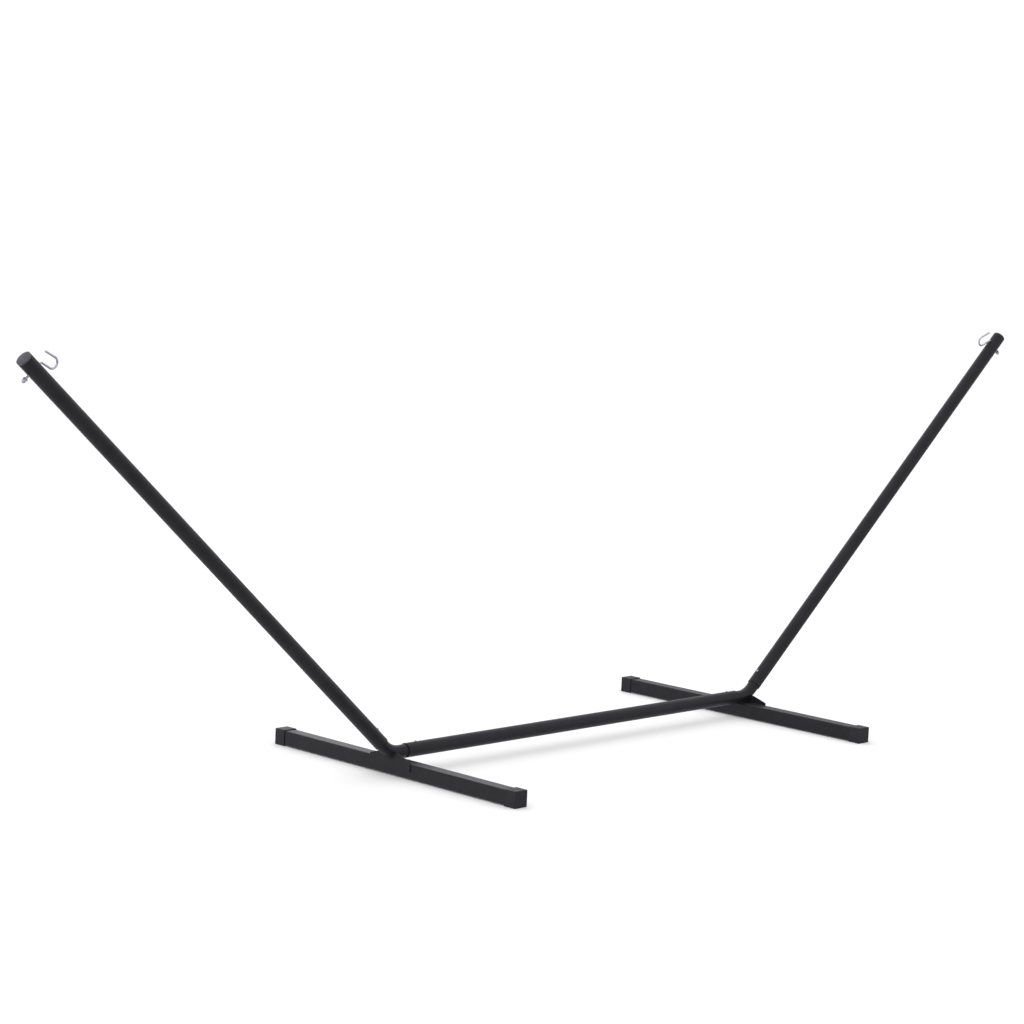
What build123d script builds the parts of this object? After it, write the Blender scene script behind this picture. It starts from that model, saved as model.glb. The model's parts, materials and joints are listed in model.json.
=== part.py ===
from build123d import *
import os
from math import cos, radians, sin, sqrt

# Free-standing steel hammock stand. Two square feet lie across the stand, a bent elbow is
# welded on each foot, and one beam and two rising arms sleeve over the elbows' legs.
# Frame, in millimetres: X runs along the stand, Y along the feet, Z up. The origin is on the
# ground, midway between the feet and under the middle of the beam.

# Feet: square tube, with a box cap over each end that also carries the stand
FOOT_SPACING = 1724.0
FOOT_OVERALL = 1142.0
FOOT_SIDE = 50.0
FOOT_WALL = 2.0
FOOT_CORNER = 5.0
FOOT_CAP_WALL = 2.5
FOOT_CAP_END = 3.0
FOOT_CAP_LENGTH = 46.0
FOOT_CAP_CORNER = 3.0
FOOT_CAP_EDGE = 1.5
FOOT_CAP_LEAD = 0.9  # the socket's mouth is this much wider all round
FOOT_CAP_LEAD_DEPTH = 4.0

# Round tubes: the elbow's legs slide into the beam and the arms
TUBE_RADIUS = 48.3 / 2
ELBOW_RADIUS = 42.4 / 2
ELBOW_WALL = 2.5
SLEEVE_CLEARANCE = 0.05
BEAM_LENGTH = 1650.0
ARM_LENGTH = 1897.0
ARM_ANGLE = 41.8
BEND_RADIUS = 100.0
SLEEVE_DEPTH = 110.0
CORNER_OVERHANG = 29.5  # from the foot's middle out to where the beam and arm axes cross
ARM_START = 52.0  # from that crossing up to the arm's lower end
END_CAP_FLANGE = 5.0
END_CAP_DOME = 3.5
END_CAP_PLUG = 22.0
END_CAP_WALL = 2.5

# Gusset: a plate on the outer face of each foot, cradling the elbow
GUSSET_THICKNESS = 3.0
GUSSET_HALF_LENGTH = 95.0
GUSSET_BOTTOM = 27.0
GUSSET_SHOULDER = 60.0
GUSSET_SHOULDER_ROUND = 5.0
GUSSET_TOP = 80.0
GUSSET_TOP_HALF = 27.0

# Snap buttons: a riveted pin on a folded leaf spring inside each elbow leg
BUTTON_RADIUS = 4.0
BUTTON_STAND = 4.5
BUTTON_EDGE = 2.8
BUTTON_FROM_SLEEVE_END = 47.0
BUTTON_FLANGE_RADIUS = 6.0
BUTTON_FLANGE = 1.2
BUTTON_CLEARANCE = 0.3
BUTTON_FLANGE_GAP = 0.4
LEAF_WIDTH = 10.0
LEAF_THICKNESS = 1.0
LEAF_REACH = 46.0
LEAF_SEAT = 14.0
LEAF_FOLD_RADIUS = 4.0

# Hooks: bent round bar with an M8 thread on its shank, right through the arm near its top.
# The shank is longer than the arm is wide, so a hook can be drawn out and turned.
HOOK_WIRE_RADIUS = 3.5
HOOK_THREAD_RADIUS = 3.6  # the thread's mean radius, halfway up its flanks
HOOK_THREAD_FRONT = 20.0
HOOK_FROM_ARM_TOP = 45.0
HOOK_LEAN = 6.0  # the shank leans this far down the arm, degrees off square
HOOK_SWING = 11.0  # each hook hangs swivelled this far towards the back, degrees
HOOK_HOLE_RADIUS = 4.5
HOOK_NECK_START = 25.4  # from the arm's axis out to where the bar starts to bend
HOOK_NECK_RADIUS = 8.0
HOOK_LEG_RISE = 14.5  # the inner leg's angle off the arm, degrees
HOOK_LEG = 36.0
HOOK_BOWL_RADIUS = 17.2
HOOK_BOWL_TURN = 181.5
HOOK_TIP_LEG = 43.0
WASHER_BORE = 4.2
WASHER_RADIUS = 8.0
WASHER_THICKNESS = 1.6
WASHER_FACE = 37.6
NUT_ACROSS_FLATS = 13.0
NUT_CORNER_TURN = 0.9  # share of each corner that is turned off at the ends
CAP_NUT_HEX = 8.0
CAP_NUT_DOME_RADIUS = 6.0
CAP_NUT_THREAD_DEPTH = 11.0
LOOSE_GAP = 0.3

FOOT_X = FOOT_SPACING / 2
FOOT_TOP = FOOT_CAP_WALL + FOOT_SIDE
FOOT_MIDDLE_Z = FOOT_CAP_WALL + FOOT_SIDE / 2
BEAM_Z = FOOT_TOP + ELBOW_RADIUS
CORNER_X = FOOT_X + CORNER_OVERHANG
SLEEVE_BORE = ELBOW_RADIUS + SLEEVE_CLEARANCE
ELBOW_BORE = ELBOW_RADIUS - ELBOW_WALL
BEAM_START = CORNER_X - BEAM_LENGTH / 2

ARM_DIRECTION = (cos(radians(ARM_ANGLE)), 0, sin(radians(ARM_ANGLE)))
ARM_NORMAL = (-sin(radians(ARM_ANGLE)), 0, cos(radians(ARM_ANGLE)))

# Each leg's plane starts where the axes cross: local X runs along the leg, local Z is the side
# that carries the button, and the hook on an arm.
ARM_PLANE = Plane(origin=(CORNER_X, 0, BEAM_Z), x_dir=ARM_DIRECTION, z_dir=ARM_NORMAL)
BEAM_PLANE = Plane(origin=(CORNER_X, 0, BEAM_Z), x_dir=(-1, 0, 0), z_dir=(0, 0, 1))
SLEEVE_STARTS = {"arm": ARM_START, "beam": BEAM_START}
LEG_PLANES = {"arm": ARM_PLANE, "beam": BEAM_PLANE}

# The hook's plane has its origin on the arm's axis; local Y runs out along the shank and
# local X runs up the arm.
HOOK_PLANE = (
    ARM_PLANE
    * Location((ARM_START + ARM_LENGTH - HOOK_FROM_ARM_TOP, 0, 0))
    * Location((0, 0, 0), (0, -HOOK_LEAN, 0))
    * Location((0, 0, 0), (90, 0, 0))
)


def rod_along_x(start, end, radius):
    """A round bar on the local X axis."""
    bar = Cylinder(radius, end - start, align=(Align.CENTER, Align.CENTER, Align.MIN))
    return Pos(start, 0, 0) * Rot(0, 90, 0) * bar


def rod_along_y(start, end, radius):
    """A round bar on the local Y axis."""
    bar = Cylinder(radius, end - start, align=(Align.CENTER, Align.CENTER, Align.MIN))
    return Pos(0, start, 0) * Rot(-90, 0, 0) * bar


def hexagon_along_y(start, end, across_flats):
    """A hexagonal bar on the local Y axis, its corners turned off at both ends."""
    corner_radius = across_flats / sqrt(3)
    outline = RegularPolygon(corner_radius, side_count=6)
    bar = extrude(outline, end - start)
    turned = chamfer(
        Cylinder(
            corner_radius, end - start, align=(Align.CENTER, Align.CENTER, Align.MIN)
        ).edges().filter_by(GeomType.CIRCLE),
        (corner_radius - across_flats / 2) * NUT_CORNER_TURN,
    )
    return Pos(0, start, 0) * Rot(-90, 0, 0) * (bar & turned)


def foot_tube():
    """Square tube under one elbow, open at both ends."""
    length = FOOT_OVERALL - 2 * FOOT_CAP_END
    outer = RectangleRounded(FOOT_SIDE, FOOT_SIDE, FOOT_CORNER)
    inner_side = FOOT_SIDE - 2 * FOOT_WALL
    inner = RectangleRounded(inner_side, inner_side, FOOT_CORNER - FOOT_WALL)
    tube = extrude(Plane.XZ * (outer - inner), length / 2, both=True)
    return Pos(FOOT_X, 0, FOOT_MIDDLE_Z) * tube


def foot_cap(end):
    """Box cap over one end of a foot; end is 1 at the back and -1 at the front."""
    side = FOOT_SIDE + 2 * FOOT_CAP_WALL
    outline = RectangleRounded(side, side, FOOT_CAP_CORNER)
    block = extrude(Plane.XZ * outline, -FOOT_CAP_LENGTH)
    outer_edges = block.faces().sort_by(Axis.Y)[-1].edges()
    block = fillet(outer_edges, FOOT_CAP_EDGE)
    socket = extrude(
        Plane.XZ * RectangleRounded(FOOT_SIDE, FOOT_SIDE, FOOT_CORNER),
        -(FOOT_CAP_LENGTH - FOOT_CAP_END),
    )
    mouth_side = FOOT_SIDE + 2 * FOOT_CAP_LEAD
    mouth_outline = RectangleRounded(mouth_side, mouth_side, FOOT_CORNER + FOOT_CAP_LEAD)
    mouth = extrude(Plane.XZ * mouth_outline, -FOOT_CAP_LEAD_DEPTH)
    cap = Pos(FOOT_X, FOOT_OVERALL / 2 - FOOT_CAP_LENGTH, FOOT_MIDDLE_Z) * (block - socket - mouth)
    return cap if end > 0 else cap.mirror(Plane.XZ)


def elbow_path():
    """Centre line of the bent tube, from its end in the beam to its end in the arm."""
    beam_leg = BEAM_START + SLEEVE_DEPTH
    arm_leg = ARM_START + SLEEVE_DEPTH
    angle = radians(ARM_ANGLE)
    return FilletPolyline(
        (CORNER_X - beam_leg, BEAM_Z),
        (CORNER_X, BEAM_Z),
        (CORNER_X + arm_leg * cos(angle), BEAM_Z + arm_leg * sin(angle)),
        radius=BEND_RADIUS,
    )


def bent_bar(radius):
    """A round bar that follows the elbow's centre line."""
    path = Plane.XZ * elbow_path()
    return sweep(Plane(origin=path @ 0, z_dir=path % 0) * Circle(radius), path=path)


def button_place(leg):
    """Distance along one leg from the crossing of the axes to its button."""
    return SLEEVE_STARTS[leg] + BUTTON_FROM_SLEEVE_END


def button_hole(leg):
    """Cutter for the button's hole through the upper wall of one leg."""
    radius = BUTTON_RADIUS + BUTTON_CLEARANCE
    drill = Cylinder(radius, 2 * TUBE_RADIUS, align=(Align.CENTER, Align.CENTER, Align.MIN))
    return LEG_PLANES[leg] * Pos(button_place(leg), 0, 0) * drill


def elbow():
    """Bent tube with a hole for the button in each leg."""
    tube = bent_bar(ELBOW_RADIUS) - bent_bar(ELBOW_BORE)
    for leg in LEG_PLANES:
        tube -= button_hole(leg)
    return tube


def gusset():
    """Shouldered plate on the foot's outer face, cut out round the elbow."""
    outline = Polyline(
        (-GUSSET_HALF_LENGTH, GUSSET_BOTTOM),
        (-GUSSET_HALF_LENGTH, GUSSET_SHOULDER),
        (-GUSSET_TOP_HALF, GUSSET_TOP),
        (GUSSET_TOP_HALF, GUSSET_TOP),
        (GUSSET_HALF_LENGTH, GUSSET_SHOULDER),
        (GUSSET_HALF_LENGTH, GUSSET_BOTTOM),
        close=True,
    )
    face = make_face(outline)
    shoulders = face.vertices().group_by(Axis.Y)[1]
    face = fillet(shoulders, GUSSET_SHOULDER_ROUND)
    plate = extrude(Plane.YZ * face, GUSSET_THICKNESS)
    plate = Pos(FOOT_X + FOOT_SIDE / 2, 0, 0) * plate
    return plate - bent_bar(ELBOW_RADIUS + SLEEVE_CLEARANCE)


def beam():
    """Straight tube between the elbows, with a button hole near each end."""
    half = BEAM_LENGTH / 2
    tube = rod_along_x(-half, half, TUBE_RADIUS) - rod_along_x(-half, half, SLEEVE_BORE)
    hole = button_hole("beam")
    return Pos(0, 0, BEAM_Z) * tube - hole - hole.mirror(Plane.YZ)


def arm():
    """Rising tube with a button hole at its foot and the hook's holes near its top."""
    end = ARM_START + ARM_LENGTH
    tube = rod_along_x(ARM_START, end, TUBE_RADIUS) - rod_along_x(ARM_START, end, SLEEVE_BORE)
    tube = ARM_PLANE * tube - button_hole("arm")
    return tube - HOOK_PLANE * rod_along_y(-2 * TUBE_RADIUS, 2 * TUBE_RADIUS, HOOK_HOLE_RADIUS)


def arm_end_cap():
    """Domed plastic cap with a hollow plug pressed into the arm's top."""
    end = ARM_START + ARM_LENGTH
    rim = end + END_CAP_FLANGE
    crown = rim + END_CAP_DOME
    plug_end = end - END_CAP_PLUG
    bore = SLEEVE_BORE - END_CAP_WALL
    dome_radius = (TUBE_RADIUS**2 + END_CAP_DOME**2) / (2 * END_CAP_DOME)
    half_rise = sqrt(dome_radius**2 - (TUBE_RADIUS / 2) ** 2)
    half_section = (
        Polyline(
            (crown, 0),
            (end, 0),
            (end, bore),
            (plug_end, bore),
            (plug_end, SLEEVE_BORE),
            (end, SLEEVE_BORE),
            (end, TUBE_RADIUS),
            (rim, TUBE_RADIUS),
        )
        + ThreePointArc(
            (rim, TUBE_RADIUS), (crown - dome_radius + half_rise, TUBE_RADIUS / 2), (crown, 0)
        )
    )
    return ARM_PLANE * revolve(make_face(half_section), Axis.X)


def flange_top():
    """Height above a leg's axis at which the button's flange stops under the bore."""
    return sqrt(ELBOW_BORE**2 - BUTTON_FLANGE_RADIUS**2) - BUTTON_FLANGE_GAP


def snap_button(leg):
    """Round-headed pin through the elbow and its sleeve, with a flange inside."""
    upright = (Align.CENTER, Align.CENTER, Align.MIN)
    top = TUBE_RADIUS + BUTTON_STAND
    base = flange_top() - BUTTON_FLANGE
    pin = Cylinder(BUTTON_RADIUS, top - base, align=upright)
    pin = fillet(pin.faces().sort_by(Axis.Z)[-1].edges(), BUTTON_EDGE)
    flange = Cylinder(BUTTON_FLANGE_RADIUS, BUTTON_FLANGE, align=upright)
    return LEG_PLANES[leg] * Pos(button_place(leg), 0, base) * (pin + flange)


def leaf_spring(leg):
    """Folded strip under the button, resting on the far wall of the elbow's bore."""
    along = button_place(leg)
    seat = flange_top() - BUTTON_FLANGE - LEAF_THICKNESS / 2
    lower_end = -sqrt(ELBOW_BORE**2 - (LEAF_WIDTH / 2) ** 2) + LEAF_THICKNESS
    start = along - LEAF_SEAT / 2
    centre_line = FilletPolyline(
        (start, seat),
        (start + LEAF_SEAT, seat),
        (along + LEAF_REACH, 0),
        (start, lower_end),
        radius=LEAF_FOLD_RADIUS,
    )
    path = Plane.XZ * centre_line
    section = Plane(origin=path @ 0, x_dir=(0, 1, 0), z_dir=path % 0)
    strip = sweep(section * Rectangle(LEAF_WIDTH, LEAF_THICKNESS), path=path)
    return LEG_PLANES[leg] * strip


def cap_nut_start():
    """Distance back along the shank to the cap nut's inner face."""
    return WASHER_FACE + WASHER_THICKNESS + LOOSE_GAP


def hook():
    """Bent bar: threaded shank, tight neck, inner leg, round bowl and a straight tip."""
    stem = Line((0, HOOK_THREAD_FRONT), (0, HOOK_NECK_START))
    neck_turn = 90 - HOOK_LEG_RISE - HOOK_LEAN
    neck = JernArc(stem @ 1, stem % 1, HOOK_NECK_RADIUS, neck_turn)
    inner_leg = Line(neck @ 1, (neck @ 1) + (neck % 1) * HOOK_LEG)
    bowl = JernArc(inner_leg @ 1, inner_leg % 1, HOOK_BOWL_RADIUS, -HOOK_BOWL_TURN)
    tip = Line(bowl @ 1, (bowl @ 1) + (bowl % 1) * HOOK_TIP_LEG)
    path = stem + neck + inner_leg + bowl + tip
    section = Plane(origin=stem @ 0, z_dir=stem % 0) * Circle(HOOK_WIRE_RADIUS)
    bar = sweep(section, path=path)
    tip_end = Pos(*(tip @ 1)) * Sphere(HOOK_WIRE_RADIUS)
    thread_end = cap_nut_start() + CAP_NUT_THREAD_DEPTH
    thread = rod_along_y(-thread_end, HOOK_THREAD_FRONT, HOOK_THREAD_RADIUS)
    return HOOK_PLANE * Rot(0, -HOOK_SWING, 0) * (thread + bar + tip_end)


def hook_washer():
    """Plain washer on the shank behind the arm."""
    end = -WASHER_FACE
    start = end - WASHER_THICKNESS
    disc = rod_along_y(start, end, WASHER_RADIUS)
    return HOOK_PLANE * (disc - rod_along_y(start, end, WASHER_BORE))


def cap_nut():
    """Domed nut that closes the shank's threaded end."""
    end = -cap_nut_start()
    start = end - CAP_NUT_HEX
    nut = hexagon_along_y(start, end, NUT_ACROSS_FLATS)
    nut += Pos(0, start, 0) * Sphere(CAP_NUT_DOME_RADIUS)
    nut -= rod_along_y(end - CAP_NUT_THREAD_DEPTH, end, HOOK_THREAD_RADIUS)
    return HOOK_PLANE * nut


def save(name, shape):
    """Write one piece as its own file."""
    export_step(shape, f"parts/{name}.step")


def save_pair(name, shape):
    """Write the right-hand piece and its mirror image at the left-hand end."""
    save(f"{name}_right", shape)
    save(f"{name}_left", shape.mirror(Plane.YZ))


os.makedirs("parts", exist_ok=True)

save("beam", beam())
save_pair("foot", foot_tube())
save_pair("foot_cap_front", foot_cap(-1))
save_pair("foot_cap_back", foot_cap(1))
save_pair("elbow", elbow())
save_pair("gusset", gusset())
save_pair("arm", arm())
save_pair("arm_end_cap", arm_end_cap())
for leg_name in LEG_PLANES:
    save_pair(f"{leg_name}_snap_button", snap_button(leg_name))
    save_pair(f"{leg_name}_leaf_spring", leaf_spring(leg_name))
save_pair("hook", hook())
save_pair("hook_cap_nut", cap_nut())
save_pair("hook_washer", hook_washer())
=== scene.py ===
"""The looks of a steel hammock stand: black powder coat, moulded caps and zinc-plated hooks."""

import json
from math import cos, pi, radians, sin, sqrt, tau

import bpy
from mathutils import Matrix, Vector


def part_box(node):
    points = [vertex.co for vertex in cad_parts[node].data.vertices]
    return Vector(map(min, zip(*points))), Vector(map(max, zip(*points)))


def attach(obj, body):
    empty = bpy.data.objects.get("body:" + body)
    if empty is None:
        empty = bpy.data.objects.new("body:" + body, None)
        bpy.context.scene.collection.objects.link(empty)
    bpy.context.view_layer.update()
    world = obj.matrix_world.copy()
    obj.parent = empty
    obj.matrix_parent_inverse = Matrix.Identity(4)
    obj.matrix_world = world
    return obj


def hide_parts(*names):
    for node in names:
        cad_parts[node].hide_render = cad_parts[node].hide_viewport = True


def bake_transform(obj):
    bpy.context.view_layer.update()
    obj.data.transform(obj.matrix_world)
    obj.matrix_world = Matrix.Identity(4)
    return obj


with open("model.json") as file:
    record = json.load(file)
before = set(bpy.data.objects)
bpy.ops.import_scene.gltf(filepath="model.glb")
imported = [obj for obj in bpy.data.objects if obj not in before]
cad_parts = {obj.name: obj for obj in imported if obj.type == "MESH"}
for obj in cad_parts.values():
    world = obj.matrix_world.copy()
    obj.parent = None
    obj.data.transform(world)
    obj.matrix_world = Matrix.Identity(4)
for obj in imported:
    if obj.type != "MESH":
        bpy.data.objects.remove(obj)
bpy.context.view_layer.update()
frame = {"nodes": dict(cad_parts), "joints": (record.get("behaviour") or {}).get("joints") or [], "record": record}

SIDES = {"right": 1, "left": -1}
ENDS = {"front": -1, "back": 1}
LEGS = ("arm", "beam")  # the sleeve joints at an elbow, each with a button and a leaf spring
MM = 0.001

# Camera: it stands off the left-hand foot and looks across the stand at the right-hand one
CAMERA_PLACE = (-6.844, -6.377, 1.963)
CAMERA_HEADING = 45.395  # degrees from +Y towards +X
CAMERA_DROP = 7.124  # degrees below level
CAMERA_ROLL = 2.513  # degrees, anticlockwise as seen from behind it
CAMERA_LENS = 96.78  # mm
CAMERA_NEAREST = 0.1
CAMERA_FARTHEST = 1000

# Floor
FLOOR_HALF = 400.0
FLOOR_COLOUR = (0.95, 0.962, 0.895, 1)  # evens out the sky's faint tint
FLOOR_ROUGHNESS = 0.9
FLOOR_SPECULAR = 0.1

# Sky
SKY_COLOUR = (1.0, 0.985, 1.07, 1)
SKY_STRENGTH = 1.09
BRIGHT_SIDE = (-0.35, 0.94, 0)  # the studio is brighter towards the back
SKY_LEAN = 0.22  # the share by which the sky differs from its middle strength, high up
SKY_LEAN_HEIGHTS = (0.05, 0.35)  # where the lean grows, as sines of the height over the horizon
GROUND_SHARES = (0.48, 0.97)  # the ground's strength beside the sky's, in front and behind
GROUND_HEIGHTS = (-0.06, -0.02)  # where the ground gives way to the sky, as sines again
FROM_AWAY_TO_TOWARDS = (-1, 1)  # how far a direction agrees with the bright side

# Softboxes
OVERHEAD_SIZE = 6.0
OVERHEAD_PLACE = (0, 0, 4.5)
OVERHEAD_TARGET = (0, 0, 0)
OVERHEAD_POWER = 24.0
BACK_SIZE = 2.0
BACK_PLACE = (2.0, 3.6, 1.1)
BACK_TARGET = (-0.86, -0.3, 0)
BACK_POWER = 11.0

# Noise textures
NOISE_LOW, NOISE_HIGH = 0.3, 0.7  # nearly all of a noise lies between these
SMOOTH, ROUGHER, ROUGHEST = 2, 3, 4  # octaves of detail
NO_STRETCH = (1, 1, 1)

# Powder coat
COAT_COLOURS = ((0.0115, 0.0113, 0.0130), (0.0150, 0.0147, 0.0168))
COAT_CLOUD_SIZE = 45 * MM
COAT_ROUGHNESS = (0.40, 0.48)
COAT_PATCH_SIZE = 9 * MM  # of the changes in roughness, as in the other finishes
COAT_SPECULAR = 0.18
PEEL_SIZE = 2.2 * MM
PEEL_DEPTH = 0.035 * MM
COAT_GRAIN_SIZE = 0.55 * MM
COAT_GRAIN_DEPTH = 0.006 * MM

# Moulded plastics
CAP_COLOURS = ((0.014, 0.014, 0.016), (0.021, 0.0205, 0.023))
CAP_SPECULAR = 0.18
END_CAP_COLOURS = ((0.034, 0.033, 0.038), (0.062, 0.061, 0.069))
END_CAP_SPECULAR = 0.5
PLASTIC_ROUGHNESS = (0.46, 0.60)
PLASTIC_PATCH_SIZE = 4 * MM
FLOW_SIZE = 14 * MM
FLOW_STRETCH = (1, 0.3, 1)
PLASTIC_GRAIN_SIZE = 0.5 * MM
PLASTIC_GRAIN_DEPTH = 0.02 * MM

# Plated and oiled steel
ZINC_COLOURS = ((0.40, 0.40, 0.43), (0.60, 0.60, 0.63))
ZINC_ROUGHNESS = (0.18, 0.30)
BUTTON_COLOURS = ((0.34, 0.34, 0.36), (0.50, 0.50, 0.52))
BUTTON_ROUGHNESS = (0.18, 0.28)
SPRING_COLOURS = ((0.16, 0.16, 0.19), (0.30, 0.29, 0.29))
SPRING_ROUGHNESS = (0.28, 0.42)
PLATING_CLOUD_SIZE = 6 * MM
PLATING_PATCH_SIZE = 1.5 * MM
DRAWN_LINE_SIZE = 0.9 * MM
DRAWN_LINE_STRETCH = (1, 1, 0.15)
DRAWN_LINE_DEPTH = 0.008 * MM
PIT_SIZE = 0.35 * MM
PIT_DEPTH = 0.004 * MM

# Elbows and feet, as the CAD has them
BEND_RADIUS = 100 * MM  # of the elbow's axis
LEVEL_WITHIN = 0.01 * MM  # what still counts as the elbow's level end
FOOT_CORNER = 5 * MM  # radius of the foot tube's corners

# Weld beads
BEAD_RIPPLE = 2.4 * MM  # from one ripple to the next
BEAD_RIPPLE_DEPTH = 0.14  # as a share of the bead's radius
BEAD_STEP = 0.4 * MM
BEAD_SIDES = 14
BEAD_WANDER = 0.3 * MM
BEAD_WANDER_LENGTH = 7.3 * BEAD_RIPPLE
BEAD_TAPER_POWER = 16  # a high power keeps the taper to the bead's ends
BEAD_END_SHARE = 0.05  # a bead keeps the root of this share of its radius at its ends
BEAD_ROUTE_STEPS = 24

# Beads between the elbow's underside and the foot's top
FILLET_OFFSET = 11.5 * MM  # from the stand's middle plane
FILLET_RADIUS = 3.5 * MM

# Beads round the elbow on the gusset's outer face
CRADLE_REACH = radians(80)  # each way from the elbow's lowest line
CRADLE_STAND = 0.8 * MM  # proud of the face
CRADLE_RADIUS = 3.0 * MM

# Beads between the gusset's inner face and the foot's corner
SEAM_START = 27 * MM
SEAM_MARGIN = 7 * MM
SEAM_INSET = 1.5 * MM
SEAM_DROP = 1.2 * MM
SEAM_RADIUS = 2.8 * MM

# M8 thread on the hooks' shanks: a ridge on a cylinder of the thread's mean radius
THREAD_PITCH = 1.25 * MM
THREAD_BASE = 3.55 * MM  # radius at the ridge's foot
THREAD_CREST = 4.0 * MM
THREAD_BASE_WIDTH = 0.54  # in pitches
THREAD_CREST_WIDTH = 0.125
THREAD_FRONT = 20 * MM  # from the arm's axis
THREAD_STEPS = 40  # in one turn


def node_points(node):
    """A CAD node's points in the row frame."""
    return [point.co for point in frame["nodes"][node].data.vertices]


def joint(name):
    """One joint of the record by its name."""
    return next(entry for entry in frame["joints"] if entry["name"] == name)


def span_along(node, origin, axis):
    """Lowest and highest distance of a CAD node's points along an axis."""
    distances = [(point - origin).dot(axis) for point in node_points(node)]
    return min(distances), max(distances)


def distances_out(node):
    """Inner and outer distance of a CAD node's box from the stand's middle, along the stand."""
    low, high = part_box(node)
    return sorted((abs(low[0]), abs(high[0])))


def top_of(node):
    """Highest point of a CAD node's box."""
    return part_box(node)[1][2]


# Materials


def new_material(name):
    """An empty node material with its Principled shader."""
    material = bpy.data.materials.new(name)
    material.use_nodes = True
    shader = material.node_tree.nodes["Principled BSDF"]
    return material, material.node_tree, shader


def noise(tree, size, detail=SMOOTH, stretch=NO_STRETCH):
    """Noise whose features are about size metres across."""
    place = tree.nodes.new("ShaderNodeTexCoord")
    mapping = tree.nodes.new("ShaderNodeMapping")
    mapping.inputs["Scale"].default_value = stretch
    texture = tree.nodes.new("ShaderNodeTexNoise")
    texture.inputs["Scale"].default_value = 1 / size
    texture.inputs["Detail"].default_value = detail
    tree.links.new(place.outputs["Object"], mapping.inputs["Vector"])
    tree.links.new(mapping.outputs["Vector"], texture.inputs["Vector"])
    return texture.outputs["Fac"]


def spread(tree, factor, low, high, start=NOISE_LOW, end=NOISE_HIGH):
    """Stretch a factor's range start to end over the values low to high."""
    node = tree.nodes.new("ShaderNodeMapRange")
    node.inputs["From Min"].default_value = start
    node.inputs["From Max"].default_value = end
    node.inputs["To Min"].default_value = low
    node.inputs["To Max"].default_value = high
    tree.links.new(factor, node.inputs["Value"])
    return node.outputs["Result"]


def multiply(tree, first, second):
    """The product of two values."""
    node = tree.nodes.new("ShaderNodeMath")
    node.operation = "MULTIPLY"
    tree.links.new(first, node.inputs[0])
    tree.links.new(second, node.inputs[1])
    return node.outputs["Value"]


def subtract_from_one(tree, value):
    """One minus a value."""
    node = tree.nodes.new("ShaderNodeMath")
    node.operation = "SUBTRACT"
    node.inputs[0].default_value = 1.0
    tree.links.new(value, node.inputs[1])
    return node.outputs["Value"]


def blend_colours(tree, factor, first, second):
    """Mix two colours by a factor."""
    node = tree.nodes.new("ShaderNodeMix")
    node.data_type = "RGBA"
    node.inputs["A"].default_value = (*first, 1)
    node.inputs["B"].default_value = (*second, 1)
    tree.links.new(factor, node.inputs["Factor"])
    return node.outputs["Result"]


def raise_bump(tree, height, depth, under=None):
    """Bump of a real depth in metres, on top of another bump's normal if there is one."""
    node = tree.nodes.new("ShaderNodeBump")
    node.inputs["Strength"].default_value = 1.0
    node.inputs["Distance"].default_value = depth
    tree.links.new(height, node.inputs["Height"])
    if under is not None:
        tree.links.new(under, node.inputs["Normal"])
    return node.outputs["Normal"]


def dress(tree, shader, colour, roughness, normal):
    """Feed a shader its colour, roughness and surface relief."""
    tree.links.new(colour, shader.inputs["Base Color"])
    tree.links.new(roughness, shader.inputs["Roughness"])
    tree.links.new(normal, shader.inputs["Normal"])


def powder_coat():
    """Satin black powder coat: orange peel, a finer grain and slight changes of gloss."""
    material, tree, shader = new_material("black_powder_coat")
    clouds = spread(tree, noise(tree, COAT_CLOUD_SIZE), 0, 1)
    colour = blend_colours(tree, clouds, *COAT_COLOURS)
    roughness = spread(tree, noise(tree, COAT_PATCH_SIZE, ROUGHEST), *COAT_ROUGHNESS)
    peel = raise_bump(tree, noise(tree, PEEL_SIZE), PEEL_DEPTH)
    grain = raise_bump(tree, noise(tree, COAT_GRAIN_SIZE), COAT_GRAIN_DEPTH, peel)
    shader.inputs["Specular IOR Level"].default_value = COAT_SPECULAR
    dress(tree, shader, colour, roughness, grain)
    return material


def moulded_plastic(name, colours, specular):
    """Moulded polyethylene with a fine eroded texture and faint flow marks."""
    material, tree, shader = new_material(name)
    flow = spread(tree, noise(tree, FLOW_SIZE, ROUGHER, FLOW_STRETCH), 0, 1)
    colour = blend_colours(tree, flow, *colours)
    roughness = spread(tree, noise(tree, PLASTIC_PATCH_SIZE, ROUGHEST), *PLASTIC_ROUGHNESS)
    grain = raise_bump(tree, noise(tree, PLASTIC_GRAIN_SIZE, ROUGHER), PLASTIC_GRAIN_DEPTH)
    shader.inputs["Specular IOR Level"].default_value = specular
    dress(tree, shader, colour, roughness, grain)
    return material


def cap_plastic():
    """Black plastic of the foot caps."""
    return moulded_plastic("cap_plastic", CAP_COLOURS, CAP_SPECULAR)


def end_cap_plastic():
    """Charcoal plastic of the arms' end caps, a little glossier."""
    return moulded_plastic("end_cap_plastic", END_CAP_COLOURS, END_CAP_SPECULAR)


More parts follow.
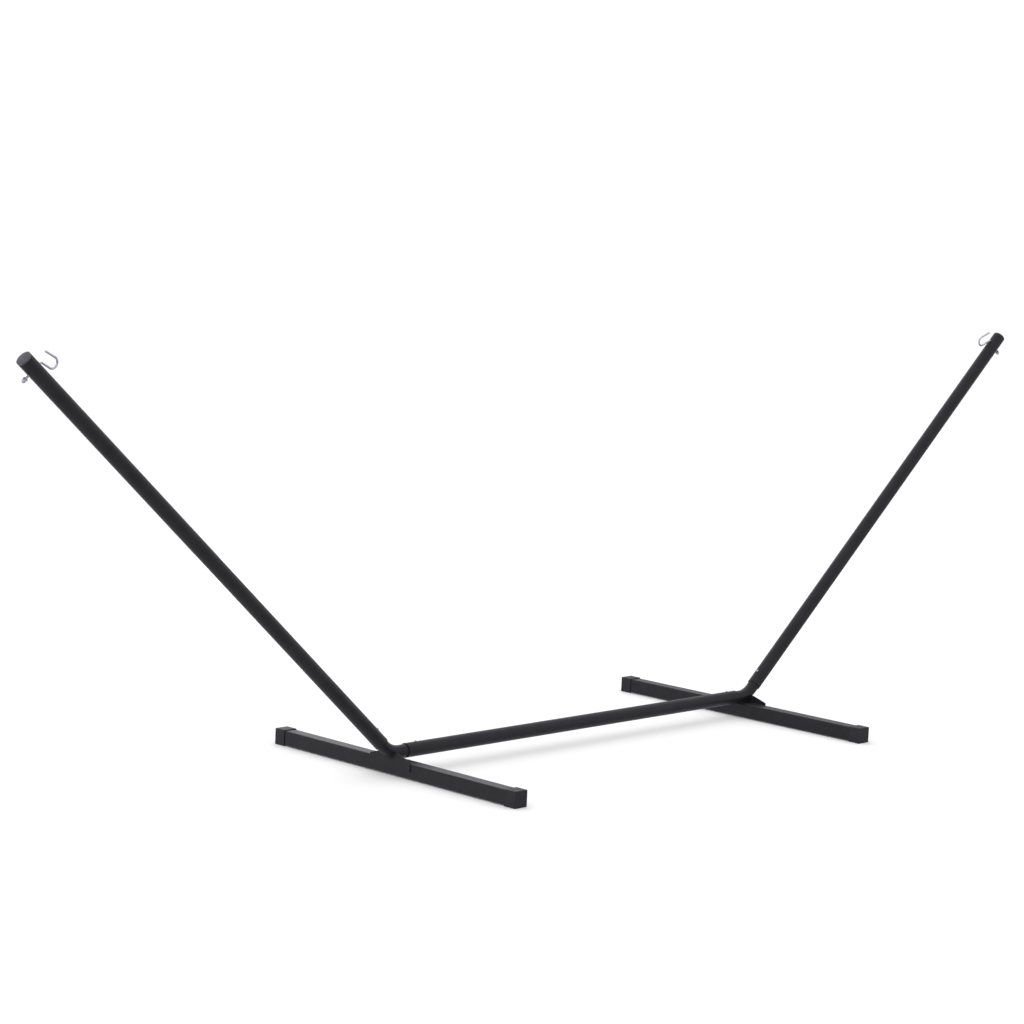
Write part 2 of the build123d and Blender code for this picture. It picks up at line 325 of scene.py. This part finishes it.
def bare_steel(name, colours, roughness_range):
    """Plated or oiled steel: a cloudy surface, fine drawing lines and small pits."""
    material, tree, shader = new_material(name)
    clouds = spread(tree, noise(tree, PLATING_CLOUD_SIZE, ROUGHER), 0, 1)
    colour = blend_colours(tree, clouds, *colours)
    roughness = spread(tree, noise(tree, PLATING_PATCH_SIZE, ROUGHER), *roughness_range)
    drawn_lines = noise(tree, DRAWN_LINE_SIZE, SMOOTH, DRAWN_LINE_STRETCH)
    lines = raise_bump(tree, drawn_lines, DRAWN_LINE_DEPTH)
    pits = raise_bump(tree, noise(tree, PIT_SIZE), PIT_DEPTH, lines)
    shader.inputs["Metallic"].default_value = 1.0
    dress(tree, shader, colour, roughness, pits)
    return material


def zinc_plate():
    """Bright zinc plate with a faint blue passivated tint."""
    return bare_steel("zinc_plate", ZINC_COLOURS, ZINC_ROUGHNESS)


def button_steel():
    """Polished zinc plate on the button heads."""
    return bare_steel("button_steel", BUTTON_COLOURS, BUTTON_ROUGHNESS)


def spring_steel():
    """Oiled, heat-treated spring strip."""
    return bare_steel("spring_steel", SPRING_COLOURS, SPRING_ROUGHNESS)


def paint_cad_nodes():
    """Give each CAD node the finish of its slot in the record."""
    for part in frame["record"]["subparts"]:
        for holder in frame["nodes"][part["node"]].material_slots:
            holder.material = finishes[part["material_slot"]]


# Pieces


def add_piece(name, points, faces, slot, body):
    """A smooth mesh piece that takes its finish from a slot and rides on a body."""
    mesh = bpy.data.meshes.new(name)
    mesh.from_pydata(points, [], faces)
    mesh.polygons.foreach_set("use_smooth", [True] * len(mesh.polygons))
    mesh.materials.append(finishes[slot])
    mesh.update()
    piece = bpy.data.objects.new(name, mesh)
    bpy.context.scene.collection.objects.link(piece)
    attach(piece, body)


def tube_faces(rings, sides):
    """Faces of a capped tube whose points come ring by ring."""
    faces = []
    for ring in range(rings - 1):
        for side in range(sides):
            here = ring * sides + side
            beside = ring * sides + (side + 1) % sides
            faces.append((here, here + sides, beside + sides, beside))
    faces.append(tuple(range(sides)))
    faces.append(tuple(reversed(range((rings - 1) * sides, rings * sides))))
    return faces


def resample(route, step):
    """Points evenly spaced along a route of points, and the route's length."""
    travelled = [0.0]
    for here, there in zip(route, route[1:]):
        travelled.append(travelled[-1] + (there - here).length)
    length = travelled[-1]
    count = round(length / step)
    points = []
    last = 0
    for number in range(count + 1):
        distance = length * number / count
        while last < len(route) - 2 and travelled[last + 1] < distance:
            last += 1
        share = (distance - travelled[last]) / (travelled[last + 1] - travelled[last])
        points.append(route[last].lerp(route[last + 1], share))
    return points, length


def weld_bead(name, route, radius):
    """A rippled weld bead along a route, tapered at both ends."""
    points, length = resample(route, BEAD_STEP)
    verts = []
    for number, point in enumerate(points):
        before = points[max(number - 1, 0)]
        after = points[min(number + 1, len(points) - 1)]
        along = (after - before).normalized()
        if number == 0:
            across = along.orthogonal()
        across = (across - along * across.dot(along)).normalized()
        beside = along.cross(across)
        distance = length * number / (len(points) - 1)
        from_middle = abs(2 * distance / length - 1)
        taper = sqrt(max(1 - from_middle**BEAD_TAPER_POWER, BEAD_END_SHARE))
        ripple = 1 - BEAD_RIPPLE_DEPTH * (1 - abs(sin(pi * distance / BEAD_RIPPLE)))
        width = radius * taper * ripple
        wander = BEAD_WANDER * sin(tau * distance / BEAD_WANDER_LENGTH)
        for side in range(BEAD_SIDES):
            turn = tau * side / BEAD_SIDES
            verts.append(point + across * (width * cos(turn) + wander) + beside * width * sin(turn))
    faces = tube_faces(len(points), BEAD_SIDES)
    add_piece(name, verts, faces, "black_powder_coat", "stand")


def elbow_radius(side):
    """Outer radius of an elbow's tube, which has its axis in the stand's middle plane."""
    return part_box(f"elbow_{side}")[1][1]


def elbow_underside(side):
    """A function for the height of the elbow's lower surface along and across the stand."""
    elbow = f"elbow_{side}"
    tube_radius = elbow_radius(side)
    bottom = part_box(elbow)[0][2]
    level = [point for point in node_points(elbow) if point.z < bottom + LEVEL_WITHIN]
    bend_start = max(abs(point.x) for point in level)
    bend_height = bottom + tube_radius + BEND_RADIUS

    def height(distance, beside):
        reach = BEND_RADIUS + sqrt(tube_radius**2 - beside**2)
        past = max(distance - bend_start, 0)
        return bend_height - sqrt(reach**2 - past**2)

    return height


def weld_elbow_to_foot(side, end):
    """Bead in the corner between the elbow's underside and the foot's top."""
    underside = elbow_underside(side)
    foot_top = top_of(f"foot_{side}")
    inner, outer = distances_out(f"foot_{side}")
    start = inner + FOOT_CORNER / 2
    route = []
    for step in range(BEAD_ROUTE_STEPS + 1):
        distance = start + (outer - start) * step / BEAD_ROUTE_STEPS
        middle = (foot_top + underside(distance, FILLET_OFFSET)) / 2
        route.append(Vector((SIDES[side] * distance, ENDS[end] * FILLET_OFFSET, middle)))
    weld_bead(f"weld_elbow_{end}_{side}", route, FILLET_RADIUS)


def weld_elbow_to_gusset(side):
    """Bead round the elbow on the gusset's outer face."""
    underside = elbow_underside(side)
    tube_radius = elbow_radius(side)
    face = distances_out(f"gusset_{side}")[1]
    route = []
    for step in range(BEAD_ROUTE_STEPS + 1):
        turn = CRADLE_REACH * (2 * step / BEAD_ROUTE_STEPS - 1)
        beside = tube_radius * sin(turn)
        height = underside(face, beside)
        route.append(Vector((SIDES[side] * (face + CRADLE_STAND), beside, height)))
    weld_bead(f"weld_cradle_{side}", route, CRADLE_RADIUS)


def weld_gusset_to_foot(side, end):
    """Bead in the groove between the gusset's inner face and the foot's rounded corner."""
    face = distances_out(f"gusset_{side}")[0]
    half_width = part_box(f"gusset_{side}")[1][1]
    x = SIDES[side] * (face - SEAM_INSET)
    z = top_of(f"foot_{side}") - SEAM_DROP
    route = [Vector((x, ENDS[end] * y, z)) for y in (SEAM_START, half_width - SEAM_MARGIN)]
    weld_bead(f"weld_seam_{end}_{side}", route, SEAM_RADIUS)


def shank_thread(side):
    """The thread's ridge round one hook's shank."""
    swivel = joint(f"hook_swivel_{side}")
    origin = Vector(swivel["pos_m"])
    axis = Vector(swivel["axis"]).normalized()
    across = Vector((0, 1, 0))
    beside = axis.cross(across)
    nut_face = span_along(f"hook_cap_nut_{side}", origin, axis)[1]
    start = nut_face + THREAD_PITCH / 2
    end = THREAD_FRONT - THREAD_PITCH / 2
    steps = round((end - start) / THREAD_PITCH * THREAD_STEPS)
    half_base = THREAD_BASE_WIDTH * THREAD_PITCH / 2
    half_crest = THREAD_CREST_WIDTH * THREAD_PITCH / 2
    profile = (
        (-half_base, THREAD_BASE),
        (-half_crest, THREAD_CREST),
        (half_crest, THREAD_CREST),
        (half_base, THREAD_BASE),
    )
    verts = []
    for number in range(steps + 1):
        turn = tau * number / THREAD_STEPS
        centre = start + THREAD_PITCH * number / THREAD_STEPS
        out = across * cos(turn) + beside * sin(turn)
        for shift, radius in profile:
            verts.append(origin + axis * (centre + shift) + out * radius)
    faces = tube_faces(steps + 1, len(profile))
    add_piece(f"hook_thread_{side}", verts, faces, "zinc_plate", f"hook_{side}")


def leaf_strip(leg, side):
    """A copy of a leaf spring's mesh in its place, with the spring's CAD node hidden."""
    node = f"{leg}_leaf_spring_{side}"
    mesh = frame["nodes"][node].data.copy()
    mesh.name = f"{leg}_leaf_strip_{side}"
    strip = bpy.data.objects.new(mesh.name, mesh)
    bpy.context.scene.collection.objects.link(strip)
    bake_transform(strip)
    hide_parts(node)


# Stage


def add_floor():
    """A wide pale floor under the caps, kept out of the gloss, where the sky's ground shows."""
    material, _, shader = new_material("floor_paint")
    shader.inputs["Base Color"].default_value = FLOOR_COLOUR
    shader.inputs["Roughness"].default_value = FLOOR_ROUGHNESS
    shader.inputs["Specular IOR Level"].default_value = FLOOR_SPECULAR
    mesh = bpy.data.meshes.new("floor")
    corners = [(-FLOOR_HALF, -FLOOR_HALF, 0), (FLOOR_HALF, -FLOOR_HALF, 0)]
    corners += [(FLOOR_HALF, FLOOR_HALF, 0), (-FLOOR_HALF, FLOOR_HALF, 0)]
    mesh.from_pydata(corners, [], [(0, 1, 2, 3)])
    mesh.materials.append(material)
    floor = bpy.data.objects.new("floor", mesh)
    floor.visible_glossy = False
    bpy.context.scene.collection.objects.link(floor)


def add_sky():
    """White light from all round, brighter high on one side, over a darker ground."""
    world = bpy.data.worlds.new("studio")
    world.use_nodes = True
    tree = world.node_tree
    place = tree.nodes.new("ShaderNodeTexCoord")
    split = tree.nodes.new("ShaderNodeSeparateXYZ")
    tree.links.new(place.outputs["Generated"], split.inputs["Vector"])
    towards = tree.nodes.new("ShaderNodeVectorMath")
    towards.operation = "DOT_PRODUCT"
    towards.inputs[1].default_value = BRIGHT_SIDE
    tree.links.new(place.outputs["Generated"], towards.inputs[0])
    behind = towards.outputs["Value"]
    above = spread(tree, split.outputs["Z"], 0, 1, *SKY_LEAN_HEIGHTS)
    weakest = SKY_STRENGTH * (1 - SKY_LEAN)
    strongest = SKY_STRENGTH * (1 + SKY_LEAN)
    lean = multiply(tree, behind, above)
    sky = spread(tree, lean, weakest, strongest, *FROM_AWAY_TO_TOWARDS)
    shade = subtract_from_one(tree, spread(tree, behind, *GROUND_SHARES, *FROM_AWAY_TO_TOWARDS))
    below = spread(tree, split.outputs["Z"], 1, 0, *GROUND_HEIGHTS)
    ground = subtract_from_one(tree, multiply(tree, shade, below))
    background = tree.nodes["Background"]
    background.inputs["Color"].default_value = SKY_COLOUR
    tree.links.new(multiply(tree, sky, ground), background.inputs["Strength"])
    bpy.context.scene.world = world


def add_softbox(name, place, target, size, power):
    """A square area light aimed at a point, itself out of sight."""
    lamp = bpy.data.lights.new(name, "AREA")
    lamp.size = size
    lamp.energy = power
    softbox = bpy.data.objects.new(name, lamp)
    softbox.location = place
    aim = Vector(target) - Vector(place)
    softbox.rotation_euler = aim.to_track_quat("-Z", "Y").to_euler()
    softbox.visible_camera = False
    bpy.context.scene.collection.objects.link(softbox)


def add_camera():
    """The camera, from its place, heading, drop and roll."""
    heading = radians(CAMERA_HEADING)
    drop = radians(CAMERA_DROP)
    roll = radians(CAMERA_ROLL)
    ahead = Vector((sin(heading) * cos(drop), cos(heading) * cos(drop), -sin(drop)))
    level = Vector((cos(heading), -sin(heading), 0))
    upright = level.cross(ahead)
    right = level * cos(roll) + upright * sin(roll)
    up = upright * cos(roll) - level * sin(roll)
    turn = Matrix((right, up, -ahead)).transposed().to_4x4()
    data = bpy.data.cameras.new("camera")
    data.lens = CAMERA_LENS
    data.clip_start = CAMERA_NEAREST
    data.clip_end = CAMERA_FARTHEST
    camera = bpy.data.objects.new("camera", data)
    camera.matrix_world = Matrix.Translation(CAMERA_PLACE) @ turn
    bpy.context.scene.collection.objects.link(camera)
    bpy.context.scene.camera = camera


finishes = {
    "black_powder_coat": powder_coat(),
    "cap_plastic": cap_plastic(),
    "end_cap_plastic": end_cap_plastic(),
    "zinc_plate": zinc_plate(),
    "button_steel": button_steel(),
    "spring_steel": spring_steel(),
}
paint_cad_nodes()
for side in SIDES:
    shank_thread(side)
    for leg in LEGS:
        leaf_strip(leg, side)
    weld_elbow_to_gusset(side)
    for end in ENDS:
        weld_elbow_to_foot(side, end)
        weld_gusset_to_foot(side, end)

add_floor()
add_sky()
add_softbox("overhead_softbox", OVERHEAD_PLACE, OVERHEAD_TARGET, OVERHEAD_SIZE, OVERHEAD_POWER)
add_softbox("back_softbox", BACK_PLACE, BACK_TARGET, BACK_SIZE, BACK_POWER)
add_camera()
bpy.context.scene.view_settings.view_transform = "Standard"
